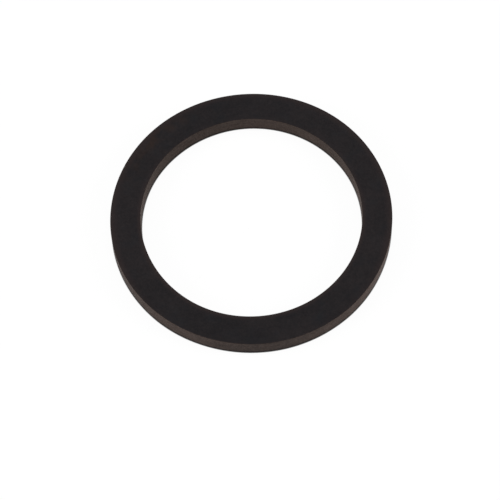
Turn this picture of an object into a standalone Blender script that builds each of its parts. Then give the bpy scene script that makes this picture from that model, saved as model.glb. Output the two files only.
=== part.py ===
"""Flat rubber ring washer, of the kind that seals the union nut of a pipe or hose.

It is one piece: a plain rectangular section turned about the bore's axis, with its four edges
slightly rounded. It lies on its bottom face at z = 0, with the bore's axis on Z. Metres, +Z up.
"""

import math

import bpy

# Driving sizes
BORE_DIAMETER = 0.055
BAND_WIDTH = 0.0075  # flat width of one side of the ring, from the bore's wall to the rim
THICKNESS = 0.005
EDGE_RADIUS = 0.00015  # the same on the top and bottom edges of the bore and of the rim

# Fineness of the curved surfaces
TURN_STEPS = 144  # flats around the ring
EDGE_STEPS = 2  # flats around each rounded edge
SMALLEST_ROUNDED_ANGLE = math.radians(60)  # the flats around the ring meet at far less than this
MERGE_DISTANCE = 1e-5  # joins the last flat around the ring to the first

# Dark, faintly brown rubber with a dull skin
RUBBER_COLOUR = (0.021, 0.019, 0.019, 1.0)
RUBBER_ROUGHNESS = 0.7


def clear_scene():
    for obj in list(bpy.data.objects):
        bpy.data.objects.remove(obj, do_unlink=True)


def new_collection(name):
    collection = bpy.data.collections.new(name)
    bpy.context.scene.collection.children.link(collection)
    return collection


def rubber_material():
    material = bpy.data.materials.new("black_rubber")
    material.use_nodes = True
    shader = material.node_tree.nodes["Principled BSDF"]
    shader.inputs["Base Color"].default_value = RUBBER_COLOUR
    shader.inputs["Roughness"].default_value = RUBBER_ROUGHNESS
    shader.inputs["Metallic"].default_value = 0.0
    return material


def band_section():
    """The closed outline of the ring's section at +X, running down the rim and up the bore."""
    bore_radius = BORE_DIAMETER / 2
    rim_radius = bore_radius + BAND_WIDTH
    points = [
        (rim_radius, 0.0, THICKNESS),
        (rim_radius, 0.0, 0.0),
        (bore_radius, 0.0, 0.0),
        (bore_radius, 0.0, THICKNESS),
    ]
    edges = [(i, (i + 1) % len(points)) for i in range(len(points))]
    mesh = bpy.data.meshes.new("band_section")
    mesh.from_pydata(points, edges, [])
    return mesh


def turn_about_z(obj):
    screw = obj.modifiers.new("Turned ring", "SCREW")
    screw.axis = "Z"
    screw.angle = math.tau
    screw.steps = TURN_STEPS
    screw.render_steps = TURN_STEPS
    screw.use_merge_vertices = True
    screw.merge_threshold = MERGE_DISTANCE
    screw.use_smooth_shade = True


def round_edges(obj):
    bevel = obj.modifiers.new("Rounded edges", "BEVEL")
    bevel.limit_method = "ANGLE"
    bevel.angle_limit = SMALLEST_ROUNDED_ANGLE
    bevel.width = EDGE_RADIUS
    bevel.segments = EDGE_STEPS
    bevel.harden_normals = True


def build_washer(collection):
    washer = bpy.data.objects.new("rubber_washer", band_section())
    washer.data.materials.append(rubber_material())
    collection.objects.link(washer)
    turn_about_z(washer)
    round_edges(washer)


clear_scene()
build_washer(new_collection("rubber_washer_part"))
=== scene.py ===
import math

import bpy
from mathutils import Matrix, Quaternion, Vector, noise


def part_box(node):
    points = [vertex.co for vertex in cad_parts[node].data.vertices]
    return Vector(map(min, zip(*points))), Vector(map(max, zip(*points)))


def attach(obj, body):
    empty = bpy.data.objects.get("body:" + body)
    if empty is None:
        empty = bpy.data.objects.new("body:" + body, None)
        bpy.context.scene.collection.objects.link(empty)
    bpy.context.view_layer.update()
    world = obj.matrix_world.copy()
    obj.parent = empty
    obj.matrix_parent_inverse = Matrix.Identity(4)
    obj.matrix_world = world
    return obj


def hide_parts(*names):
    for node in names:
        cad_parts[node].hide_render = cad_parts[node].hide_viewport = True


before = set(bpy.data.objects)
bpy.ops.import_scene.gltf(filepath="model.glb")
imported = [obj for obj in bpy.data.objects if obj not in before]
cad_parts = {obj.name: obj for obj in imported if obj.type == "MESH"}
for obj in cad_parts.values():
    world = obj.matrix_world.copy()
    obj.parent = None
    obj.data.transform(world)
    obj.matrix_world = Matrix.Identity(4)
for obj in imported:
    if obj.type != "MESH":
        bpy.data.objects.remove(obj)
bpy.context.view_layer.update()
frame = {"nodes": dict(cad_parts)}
print("frame loaded:", ", ".join(frame["nodes"]))


# small helpers for building shader trees

def newMaterial(name):
    mat = bpy.data.materials.new(name)
    mat.use_nodes = True
    return mat, mat.node_tree, mat.node_tree.nodes["Principled BSDF"]


def addNode(tree, kind, values=None, **settings):
    made = tree.nodes.new("ShaderNode" + kind)
    for key, value in settings.items():
        setattr(made, key, value)
    for key, value in (values or {}).items():
        made.inputs[key].default_value = value
    return made


def link(tree, output, node, socket):
    tree.links.new(output, node.inputs[socket])


def calc(tree, operation, first, second=None, clamp=False):
    # one Math node; each operand is an output or a plain number
    made = addNode(tree, "Math", operation=operation, use_clamp=clamp)
    for i, operand in enumerate((first, second)):
        if isinstance(operand, (int, float)):
            made.inputs[i].default_value = operand
        elif operand is not None:
            link(tree, operand, made, i)
    return made.outputs[0]


def total(tree, *outputs):
    result = outputs[0]
    for output in outputs[1:]:
        result = calc(tree, "ADD", result, output)
    return result


def product(tree, *outputs):
    result = outputs[0]
    for output in outputs[1:]:
        result = calc(tree, "MULTIPLY", result, output)
    return result


def fade(tree, value, start, end, low=0.0, high=1.0):
    # low before start, high after end, with a soft step between
    ends = {"From Min": start, "From Max": end, "To Min": low, "To Max": high}
    made = addNode(tree, "MapRange", ends, interpolation_type="SMOOTHSTEP")
    link(tree, value, made, "Value")
    return made.outputs["Result"]


def blendColours(tree, amount, first, second):
    made = addNode(tree, "Mix", data_type="RGBA")
    link(tree, amount, made, "Factor")
    for socket, colour in ((6, first), (7, second)):  # the colour sockets A and B
        if isinstance(colour, tuple):
            made.inputs[socket].default_value = (*colour, 1)
        else:
            link(tree, colour, made, socket)
    return made.outputs[2]


noiseMiddle = 0.5  # what Blender's noise swings about
noiseBoost = 4  # brings its narrow swing up to about 1
noiseRoughness = 0.55


def speckle(tree, place, size, amount, stretch=(1, 1, 1), detail=2.0, shift=0.0):
    # noise with blotches of about size metres, swinging evenly about 0 by about amount
    scale = [share / size for share in stretch]
    spread = addNode(tree, "Mapping", {"Scale": scale, "Location": (shift,) * 3})
    link(tree, place, spread, "Vector")
    values = {"Scale": 1.0, "Detail": detail, "Roughness": noiseRoughness}
    made = addNode(tree, "TexNoise", values)
    link(tree, spread.outputs[0], made, "Vector")
    swing = calc(tree, "SUBTRACT", made.outputs[0], noiseMiddle)
    return calc(tree, "MULTIPLY", swing, amount * noiseBoost)


def ringPlace(tree):
    # the point itself, its distance from the axis, and its X, Y and height, all in metres
    place = addNode(tree, "TexCoord").outputs["Object"]
    parts = addNode(tree, "SeparateXYZ")
    link(tree, place, parts, 0)
    flat = addNode(tree, "VectorMath", {1: (1, 1, 0)}, operation="MULTIPLY")
    link(tree, place, flat, 0)
    length = addNode(tree, "VectorMath", operation="LENGTH")
    link(tree, flat.outputs[0], length, 0)
    return place, length.outputs["Value"], parts.outputs


def patches(tree, place, spots):
    # broad soft spots, each paler or darker by its share at its middle
    shades = []
    for at, reach, share in spots:
        away = addNode(tree, "VectorMath", {1: at}, operation="DISTANCE")
        link(tree, place, away, 0)
        shades.append(fade(tree, away.outputs["Value"], 0, reach, share, 0))
    return total(tree, *shades)


def mottled(tree, swings, s):
    # halfway between the finish's dark and light where the swings come to nothing
    amount = calc(tree, "ADD", total(tree, *swings), 0.5, clamp=True)
    return blendColours(tree, amount, s["dark"], s["light"])


def addRoughness(tree, place, shader, s):
    spread = speckle(tree, place, s["roughSize"], s["roughSpread"])
    link(tree, calc(tree, "ADD", spread, s["roughness"]), shader, "Roughness")


def addBump(tree, heights, shader, s):
    made = addNode(tree, "Bump", {"Strength": s["bump"], "Distance": s["bumpDepth"]})
    link(tree, total(tree, *heights), made, "Height")
    link(tree, made.outputs[0], shader, "Normal")


def dressShader(shader, s):
    # numbers that are the same all over the surface
    shader.inputs["Specular IOR Level"].default_value = s["shine"]
    shader.inputs["Sheen Weight"].default_value = s["sheen"]
    shader.inputs["Sheen Roughness"].default_value = s["sheenRoughness"]
    shader.inputs["Sheen Tint"].default_value = (*s["sheenTint"], 1)


# ring: one turned skin, with the small unevenness of soft cut rubber

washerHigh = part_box("rubber_washer")[1]
washerPoints = frame["nodes"]["rubber_washer"].data.vertices

ring = {
    "rimRadius": washerHigh.x,
    "boreRadius": min(math.hypot(point.co.x, point.co.y) for point in washerPoints),
    "top": washerHigh.z,
    "edgeRadius": 0.00015,
    "turnSteps": 640,
    "faceSteps": 18,  # across one flat face
    "wallSteps": 44,  # down one wall
    "edgeSteps": 5,  # round one edge
    "endShare": 0.01,  # of a flat stretch, from its ends to the points that keep its shading flat
    "weldReach": 1e-6,  # closes the ring where the turn ends
    "boreShift": (0.00006, 0.00005),  # the hole is cut a little off the middle
    # where a cut leans towards the axis: turn and spread in degrees, depth at top and bottom
    "rimLeans": [
        (-122, 50, 0.00021, 0.00004),
        (-108, 30, 0.0, 0.00008),
        (-18, 34, 0.0, 0.00015),
        (92, 48, 0.00008, 0.00008),
    ],
    "boreLeans": [
        (108, 34, 0.00016, 0.0),
        (124, 42, 0.0, 0.00014),
        (60, 42, 0.00012, 0.0),
        (-150, 38, 0.00009, 0.00006),
    ],
    "dipDepth": 0.00002,  # of the broad dips in the faces
    "dipLength": 0.008,
    "cutDepth": 0.00002,  # of the fine lines round the walls
    "cutPitch": 0.00045,
    "cutLength": 0.008,
    "wallStart": 0.75,  # rounded edge that tips up or down less than this belongs to the wall
}


def stretchOf(start, end, steps, endShare):
    # points from start up to, not including, end, with one close to each end
    inner = steps - 3
    shares = [0, endShare] + [(i + 0.5) / inner for i in range(inner)] + [1 - endShare]
    return [start.lerp(end, share) for share in shares]


def cornerOf(middle, radius, startAngle, steps):
    # a rounded corner, turning clockwise
    angles = [startAngle - math.pi / 2 * i / steps for i in range(steps)]
    return [middle + radius * Vector((math.cos(a), 0, math.sin(a))) for a in angles]


def ringSection(r):
    # over the top face from the bore, down the rim, back under the bottom face and up the bore
    e = r["edgeRadius"]
    inner, outer, top = r["boreRadius"] + e, r["rimRadius"] - e, r["top"] - e
    topIn, topOut = Vector((inner, 0, top)), Vector((outer, 0, top))
    lowOut, lowIn = Vector((outer, 0, e)), Vector((inner, 0, e))
    up, out = Vector((0, 0, e)), Vector((e, 0, 0))
    points = stretchOf(topIn + up, topOut + up, r["faceSteps"], r["endShare"])
    points += cornerOf(topOut, e, math.pi / 2, r["edgeSteps"])
    points += stretchOf(topOut + out, lowOut + out, r["wallSteps"], r["endShare"])
    points += cornerOf(lowOut, e, 0, r["edgeSteps"])
    points += stretchOf(lowOut - up, lowIn - up, r["faceSteps"], r["endShare"])
    points += cornerOf(lowIn, e, -math.pi / 2, r["edgeSteps"])
    points += stretchOf(lowIn - out, topIn - out, r["wallSteps"], r["endShare"])
    points += cornerOf(topIn, e, math.pi, r["edgeSteps"])
    return points


def turnSection(points, r):
    profile = bpy.data.meshes.new("section")
    loop = [(i, (i + 1) % len(points)) for i in range(len(points))]
    profile.from_pydata(points, loop, [])
    turned = bpy.data.objects.new("section", profile)
    bpy.context.scene.collection.objects.link(turned)
    screw = turned.modifiers.new("Turn", "SCREW")
    screw.axis = "Z"
    screw.steps = screw.render_steps = r["turnSteps"]
    screw.use_merge_vertices = True
    screw.merge_threshold = r["weldReach"]
    graph = bpy.context.evaluated_depsgraph_get()
    mesh = bpy.data.meshes.new_from_object(turned.evaluated_get(graph))
    bpy.data.objects.remove(turned)
    bpy.data.meshes.remove(profile)
    return mesh


def leanIn(vert, leans, share, top):
    # each lean is deepest at its own turn and fades out over its spread on both sides
    away = math.hypot(vert.co.x, vert.co.y)
    height = vert.co.z / top
    turn = math.degrees(math.atan2(vert.co.y, vert.co.x))
    for middle, spread, atTop, atBottom in leans:
        near = min(abs(turn - middle), 360 - abs(turn - middle)) / spread
        if near < 1:
            full = atTop * height + atBottom * (1 - height)
            depth = full * math.cos(near * math.pi / 2) ** 2
            vert.co.x -= vert.co.x / away * depth * share
            vert.co.y -= vert.co.y / away * depth * share


def shapeCuts(mesh, r):
    # the rim takes its own leans, the bore its leans and shift, the faces a share of each
    for vert in mesh.vertices:
        away = math.hypot(vert.co.x, vert.co.y)
        inward = (r["rimRadius"] - away) / (r["rimRadius"] - r["boreRadius"])
        leanIn(vert, r["rimLeans"], 1 - inward, r["top"])
        leanIn(vert, r["boreLeans"], inward, r["top"])
        vert.co.x += r["boreShift"][0] * inward
        vert.co.y += r["boreShift"][1] * inward


def unevenness(point, length, pitch):
    # 0 to 1, changing slowly along length round the ring and along pitch up it
    place = Vector((point.x / length, point.y / length, point.z / pitch))
    return 0.5 + 0.5 * noise.noise(place)


def roughenSkin(mesh, r):
    # every point moves into the rubber, never out of it
    normals = [vert.normal.copy() for vert in mesh.vertices]
    for vert, normal in zip(mesh.vertices, normals):
        cut = r["cutDepth"] * unevenness(vert.co, r["cutLength"], r["cutPitch"])
        dip = r["dipDepth"] * unevenness(vert.co, r["dipLength"], r["dipLength"])
        vert.co = vert.co - Vector((normal.x * cut, normal.y * cut, normal.z * dip))


def bandMiddle(r):
    return (r["rimRadius"] + r["boreRadius"]) / 2


def finishNumber(face, r):
    # 0 for the two flat faces, 1 for the rim's wall and 2 for the bore's
    if abs(face.normal.z) > r["wallStart"]:
        return 0
    return 1 if math.hypot(face.center.x, face.center.y) > bandMiddle(r) else 2


def makeRing(r, finishes):
    mesh = turnSection(ringSection(r), r)
    shapeCuts(mesh, r)
    roughenSkin(mesh, r)
    for finish in finishes:
        mesh.materials.append(finish)
    for face in mesh.polygons:
        face.material_index = finishNumber(face, r)
    mesh.shade_smooth()
    obj = bpy.data.objects.new("washer_ring", mesh)
    bpy.context.scene.collection.objects.link(obj)
    return obj


# flat faces: smooth moulded skin, nearly black

faceFinish = {
    "dark": (0.0086, 0.0078, 0.0088),
    "light": (0.0172, 0.0140, 0.0147),
    "cloudSize": 0.006,
    "cloud": 0.30,
    "cloudDetail": 3.0,
    "grainSize": 0.0004,
    "grain": 0.42,
    "ringPitch": 0.0004,  # of the faint lines left round the face by the mould
    "ringLength": 0.012,
    "rings": 0.10,
    "ringDetail": 1.0,
    "spots": [  # place, reach and how much paler or darker
        ((-0.0310, 0.0000, 0.005), 0.025, 0.08),
        ((0.0310, 0.0030, 0.005), 0.022, 0.16),
        ((-0.0100, -0.0290, 0.005), 0.028, -0.16),
        ((-0.0080, 0.0300, 0.005), 0.020, -0.14),
    ],
    "haze": (0.0105, 0.0112, 0.0132),  # a cooler bloom in broad blotches
    "hazeSize": 0.0045,
    "hazeSpread": 1.0,
    "hazeShift": 7.0,  # moves the noise, so that its blotches fall elsewhere
    "hazeShare": 0.5,
    # painted highlight: a paler, warmer band along the edges, strongest along the back of the rim
    # and the front of the bore
    "edgeHighlight": (0.0285, 0.0190, 0.0180),  # the paler, warmer band beside each edge
    # its width, its strength at the front and back, and the Y where it starts and ends changing
    "rimHighlight": {"width": 0.0021, "front": 0.04, "back": 0.55, "turn": (-0.030, -0.008)},
    "boreHighlight": {"width": 0.0014, "front": 0.62, "back": 0.10, "turn": (-0.004, 0.022)},
    "highlightSize": 0.0005,
    "highlightSpread": 0.25,
    "stain": (0.0262, 0.0155, 0.0118),  # brown marks on the outer half, along one stretch
    "stainAt": (-0.0235, 0.0225, 0.005),
    "stainReach": 0.018,
    "stainSize": 0.0028,
    "stainSpread": 0.8,
    "stainShift": 3.0,
    "stainCover": 0.45,
    "stainShare": 0.62,
    "stainStart": (-0.0010, 0.0012),  # they set in between these, out from the band's middle
    "stainEnd": (0.0022, 0.0002),  # and weaken between these, in from the rim
    "stainAtRim": 0.4,
    "roughness": 0.70,
    "roughSize": 0.0012,
    "roughSpread": 0.10,
    "pore": 0.00035,
    "poreShare": 0.25,
    "ripple": 0.0015,
    "rippleShare": 0.25,
    "bumpDepth": 0.00004,
    "bump": 0.25,
    "shine": 0.08,
    "sheen": 0.0,
    "sheenRoughness": 0.5,
    "sheenTint": (1.0, 0.9, 0.9),
}


def mouldRings(tree, radius, parts, s):
    # lines of noise that run round the axis
    spun = addNode(tree, "CombineXYZ")
    lengths = (s["ringPitch"], s["ringLength"], s["ringLength"])
    for socket, output in enumerate((radius, parts[0], parts[1])):
        link(tree, calc(tree, "DIVIDE", output, lengths[socket]), spun, socket)
    return speckle(tree, spun.outputs[0], 1.0, s["rings"], detail=s["ringDetail"])


def hazeBlotches(tree, place, s):
    blotch = speckle(tree, place, s["hazeSize"], s["hazeSpread"], shift=s["hazeShift"])
    return calc(tree, "MULTIPLY", blotch, s["hazeShare"], clamp=True)


def highlightBand(tree, radius, parts, edge, inward, highlight):
    # painted highlight, strongest at the edge, and changing from the front of the ring to its
    # back
    across = fade(tree, radius, edge + inward * highlight["width"], edge)
    return product(tree, across, fade(tree, parts[1], *highlight["turn"], highlight["front"], highlight["back"]))


def paintedEdgeHighlights(tree, place, radius, parts, s, r):
    rimBand = highlightBand(tree, radius, parts, r["rimRadius"], -1, s["rimHighlight"])
    boreBand = highlightBand(tree, radius, parts, r["boreRadius"], 1, s["boreHighlight"])
    uneven = calc(tree, "ADD", speckle(tree, place, s["highlightSize"], s["highlightSpread"]), 1.0)
    return product(tree, calc(tree, "ADD", rimBand, boreBand), uneven)


def stainMarks(tree, place, radius, s, r):
    stretch = patches(tree, place, [(s["stainAt"], s["stainReach"], 1.0)])
    blotch = speckle(tree, place, s["stainSize"], s["stainSpread"], shift=s["stainShift"])
    blotch = calc(tree, "ADD", blotch, s["stainCover"], clamp=True)
    start = [bandMiddle(r) + out for out in s["stainStart"]]
    end = [r["rimRadius"] - back for back in s["stainEnd"]]
    clearOfBore = fade(tree, radius, *start)
    clearOfRim = fade(tree, radius, *end, 1.0, s["stainAtRim"])
    marks = product(tree, stretch, blotch, clearOfBore, clearOfRim)
    return calc(tree, "MULTIPLY", marks, s["stainShare"])


def smoothFace(s, r):
    mat, tree, shader = newMaterial("smoothFace")
    place, radius, parts = ringPlace(tree)
    rings = mouldRings(tree, radius, parts, s)
    cloud = speckle(tree, place, s["cloudSize"], s["cloud"], detail=s["cloudDetail"])
    grain = speckle(tree, place, s["grainSize"], s["grain"])
    colour = mottled(tree, [cloud, grain, rings, patches(tree, place, s["spots"])], s)
    colour = blendColours(tree, hazeBlotches(tree, place, s), colour, s["haze"])
    colour = blendColours(tree, stainMarks(tree, place, radius, s, r), colour, s["stain"])
    # painted highlight along the edges of the faces
    colour = blendColours(tree, paintedEdgeHighlights(tree, place, radius, parts, s, r), colour, s["edgeHighlight"])
    link(tree, colour, shader, "Base Color")

    pores = speckle(tree, place, s["pore"], s["poreShare"])
    ripples = speckle(tree, place, s["ripple"], s["rippleShare"])
    addRoughness(tree, place, shader, s)
    addBump(tree, [pores, ripples, rings], shader, s)
    dressShader(shader, s)
    return mat


# walls: cut rubber, paler and browner than the faces, with fine lines round them

rimFinish = {
    "dark": (0.004, 0.002, 0.001),
    "light": (0.094, 0.066, 0.0565),
    "cloudSize": 0.003,
    "cloud": 0.08,
    "grainSize": 0.0003,
    "grain": 0.31,
    "streakPitch": 0.0004,
    "streakLength": 0.0065,
    "streaks": 0.14,
    "streakDetail": 3.0,
    # painted light and shade: the rim is made darker at its front and far left, paler towards its
    # front-left and front-right
    "spots": [
        ((0.0042, -0.0350, 0.0025), 0.024, -0.17),
        ((-0.0350, -0.0100, 0.0025), 0.020, -0.11),
        ((-0.0220, -0.0270, 0.0025), 0.016, 0.08),
        ((0.0310, -0.0165, 0.0025), 0.014, 0.11),
    ],
    # painted light: the walls' colour is made paler towards +X, where more light falls
    "paintedSideLight": 0.07,  # how much paler the side at +X is than the middle
    # painted shade: the walls' colour is darkened just above their bottom edge, like a contact
    # shadow
    "footShade": 0.45,  # how much darker the wall gets just above its bottom edge
    "footStart": 0.0003,
    "footEnd": 0.0012,
    "footSides": 0.5,  # how much higher that reaches at the sides, at +X and -X
    "footTurn": 4.0,  # how late it rises on the way round to the sides
    "roughness": 0.80,
    "roughSize": 0.0010,
    "roughSpread": 0.10,
    "pore": 0.0003,
    "poreShare": 0.4,
    "bumpDepth": 0.00006,
    "bump": 0.5,
    "shine": 0.12,
    "sheen": 0.14,
    "sheenRoughness": 0.3,
    "sheenTint": (1.0, 0.85, 0.80),
}

boreFinish = {
    **rimFinish,
    "light": (0.080, 0.056, 0.047),
    "paintedSideLight": 0.03,
    # painted light and shade: the bore is made paler at its back and darker towards its left
    "spots": [
        ((-0.0155, 0.0230, 0.0025), 0.020, -0.08),
        ((0.0050, 0.0270, 0.0025), 0.020, 0.12),
        ((-0.0255, 0.0110, 0.0025), 0.012, -0.04),
    ],
}


def cutLines(tree, place, s):
    along = s["streakPitch"] / s["streakLength"]
    stretch = (along, along, 1)
    return speckle(tree, place, s["streakPitch"], s["streaks"], stretch, s["streakDetail"])


def paintedFootShade(tree, radius, parts, s):
    # painted shade along the foot of the wall, reaching higher towards +X and -X
    sideways = calc(tree, "ABSOLUTE", calc(tree, "DIVIDE", parts[0], radius))
    rise = calc(tree, "MULTIPLY", calc(tree, "POWER", sideways, s["footTurn"]), s["footSides"])
    height = calc(tree, "DIVIDE", parts[2], calc(tree, "ADD", rise, 1.0))
    return fade(tree, height, s["footStart"], s["footEnd"], -s["footShade"], 0)


def cutWall(name, s, r):
    mat, tree, shader = newMaterial(name)
    place, radius, parts = ringPlace(tree)
    cloud = speckle(tree, place, s["cloudSize"], s["cloud"])
    grain = speckle(tree, place, s["grainSize"], s["grain"])
    streaks = cutLines(tree, place, s)
    # painted light, paler towards +X
    paintedSideLight = calc(tree, "MULTIPLY", parts[0], s["paintedSideLight"] / r["rimRadius"])
    footShade = paintedFootShade(tree, radius, parts, s)
    # on the walls these spots are painted light and shade
    spots = patches(tree, place, s["spots"])
    colour = mottled(tree, [cloud, grain, streaks, paintedSideLight, footShade, spots], s)
    link(tree, colour, shader, "Base Color")

    pores = speckle(tree, place, s["pore"], s["poreShare"])
    addRoughness(tree, place, shader, s)
    addBump(tree, [pores, streaks], shader, s)
    dressShader(shader, s)
    return mat


finishes = [
    smoothFace(faceFinish, ring),
    cutWall("rimWall", rimFinish, ring),
    cutWall("boreWall", boreFinish, ring),
]
washer = makeRing(ring, finishes)
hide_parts("rubber_washer")
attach(washer, "root")
print("ring turned:", len(washer.data.polygons), "faces")


# floor and sky: pale studio, which the camera sees as plain white

studio = {
    "floorSize": 8.0,
    "floorColour": (0.8, 0.8, 0.8, 1),
    "floorGlow": 0.94,  # as the camera sees it, besides the light on it
    "floorShade": (0.07, 0.07, 0.07, 1),  # how much of the washer's shadow the camera sees
    # painted contact shadow in the floor's glow
    "contactReach": 0.00021,  # of the dark line where the washer meets the floor
    "contactDepth": 0.95,
    "contactCore": 0.5,  # darkest where the floor is this open or less
    "contactSamples": 8,
    "shadeEnds": (0.15, 0.50),  # from here to there the floor turns plain white
    "farGlow": 1.0,
    "skyColour": (1, 1, 1, 1),
    "skyLight": 0.3,
    "skySeen": 1.0,
}


def seenDirectly(tree):
    # 1 for the camera, for reflections and through glass, 0 for soft light
    path = addNode(tree, "LightPath")
    first = calc(tree, "MAXIMUM", path.outputs["Is Camera Ray"], path.outputs["Is Glossy Ray"])
    return calc(tree, "MAXIMUM", first, path.outputs["Is Transmission Ray"])


def mixShaders(tree, amount, first, second):
    made = addNode(tree, "MixShader")
    for socket, output in enumerate((amount, first, second)):
        link(tree, output, made, socket)
    return made.outputs[0]


def contactGlow(tree, s):
    # the floor's glow, with a thin painted contact shadow from ambient occlusion where the washer
    # touches
    values = {"Distance": s["contactReach"]}
    openness = addNode(tree, "AmbientOcclusion", values, samples=s["contactSamples"])
    darkest = s["floorGlow"] * (1 - s["contactDepth"])
    return fade(tree, openness.outputs["AO"], s["contactCore"], 1.0, darkest, s["floorGlow"])


def seenFloor(tree, s):
    # white with the washer's shadow near it, plain white far away
    glow = addNode(tree, "Emission")
    link(tree, contactGlow(tree, s), glow, "Strength")
    shade = addNode(tree, "BsdfDiffuse", {"Color": s["floorShade"]})
    near = addNode(tree, "AddShader")
    link(tree, shade.outputs[0], near, 0)
    link(tree, glow.outputs[0], near, 1)
    far = addNode(tree, "Emission", {"Strength": s["farGlow"]})
    radius = ringPlace(tree)[1]
    return mixShaders(tree, fade(tree, radius, *s["shadeEnds"]), near.outputs[0], far.outputs[0])


def paleFloor(s):
    mat, tree, shader = newMaterial("paleFloor")
    tree.nodes.remove(shader)
    lit = addNode(tree, "BsdfDiffuse", {"Color": s["floorColour"]})
    surface = mixShaders(tree, seenDirectly(tree), lit.outputs[0], seenFloor(tree, s))
    link(tree, surface, tree.nodes["Material Output"], "Surface")
    return mat


def makeFloor(s):
    half = s["floorSize"] / 2
    corners = [(-half, -half, 0), (half, -half, 0), (half, half, 0), (-half, half, 0)]
    mesh = bpy.data.meshes.new("studio_floor")
    mesh.from_pydata(corners, [], [(0, 1, 2, 3)])
    mesh.materials.append(paleFloor(s))
    floor = bpy.data.objects.new("studio_floor", mesh)
    bpy.context.scene.collection.objects.link(floor)


def makeSky(s):
    world = bpy.data.worlds.new("studioSky")
    bpy.context.scene.world = world
    world.use_nodes = True
    tree = world.node_tree
    light = tree.nodes["Background"]
    light.inputs["Color"].default_value = s["skyColour"]
    light.inputs["Strength"].default_value = s["skyLight"]
    seen = addNode(tree, "Background", {"Color": s["skyColour"], "Strength": s["skySeen"]})
    surface = mixShaders(tree, seenDirectly(tree), light.outputs[0], seen.outputs[0])
    link(tree, surface, tree.nodes["World Output"], "Surface")


softboxes = {
    "overhead": {"at": (0.0, 0.2, 1.1), "size": 0.9, "watts": 3.5},
    "left": {"at": (-1.05, -0.2, 0.55), "size": 0.7, "watts": 8.0},
    "right": {"at": (1.05, -0.2, 0.55), "size": 0.7, "watts": 8.0},
}


def makeSoftboxes(boxes):
    # each one faces the washer
    for name, s in boxes.items():
        lamp = bpy.data.lights.new(name + "Softbox", "AREA")
        lamp.size = s["size"]
        lamp.energy = s["watts"]
        obj = bpy.data.objects.new(name + "Softbox", lamp)
        obj.location = s["at"]
        obj.rotation_euler = (-Vector(s["at"])).to_track_quat("-Z", "Y").to_euler()
        obj.visible_camera = False
        bpy.context.scene.collection.objects.link(obj)


makeFloor(studio)
makeSky(studio)
makeSoftboxes(softboxes)
print("studio lit")


# camera: the photograph's view, from the front and well above

shot = {
    "place": (0.00005, -0.27005, 0.52782),
    "aim": (-0.00080, -0.00949, 0.005),
    "roll": -3.823,  # degrees
    "lens": 170.92,  # millimetres
    "sensor": 36.0,
    "clipStart": 0.01,
}


def makeCamera(s):
    data = bpy.data.cameras.new("shot")
    data.lens = s["lens"]
    data.sensor_width = s["sensor"]
    data.clip_start = s["clipStart"]
    cam = bpy.data.objects.new("shot", data)
    bpy.context.scene.collection.objects.link(cam)
    cam.location = s["place"]
    level = (Vector(s["aim"]) - Vector(s["place"])).to_track_quat("-Z", "Y")
    turned = level @ Quaternion((0, 0, 1), math.radians(s["roll"]))
    cam.rotation_euler = turned.to_euler()
    bpy.context.scene.camera = cam


makeCamera(shot)
bpy.context.scene.view_settings.view_transform = "Standard"
print("camera set")
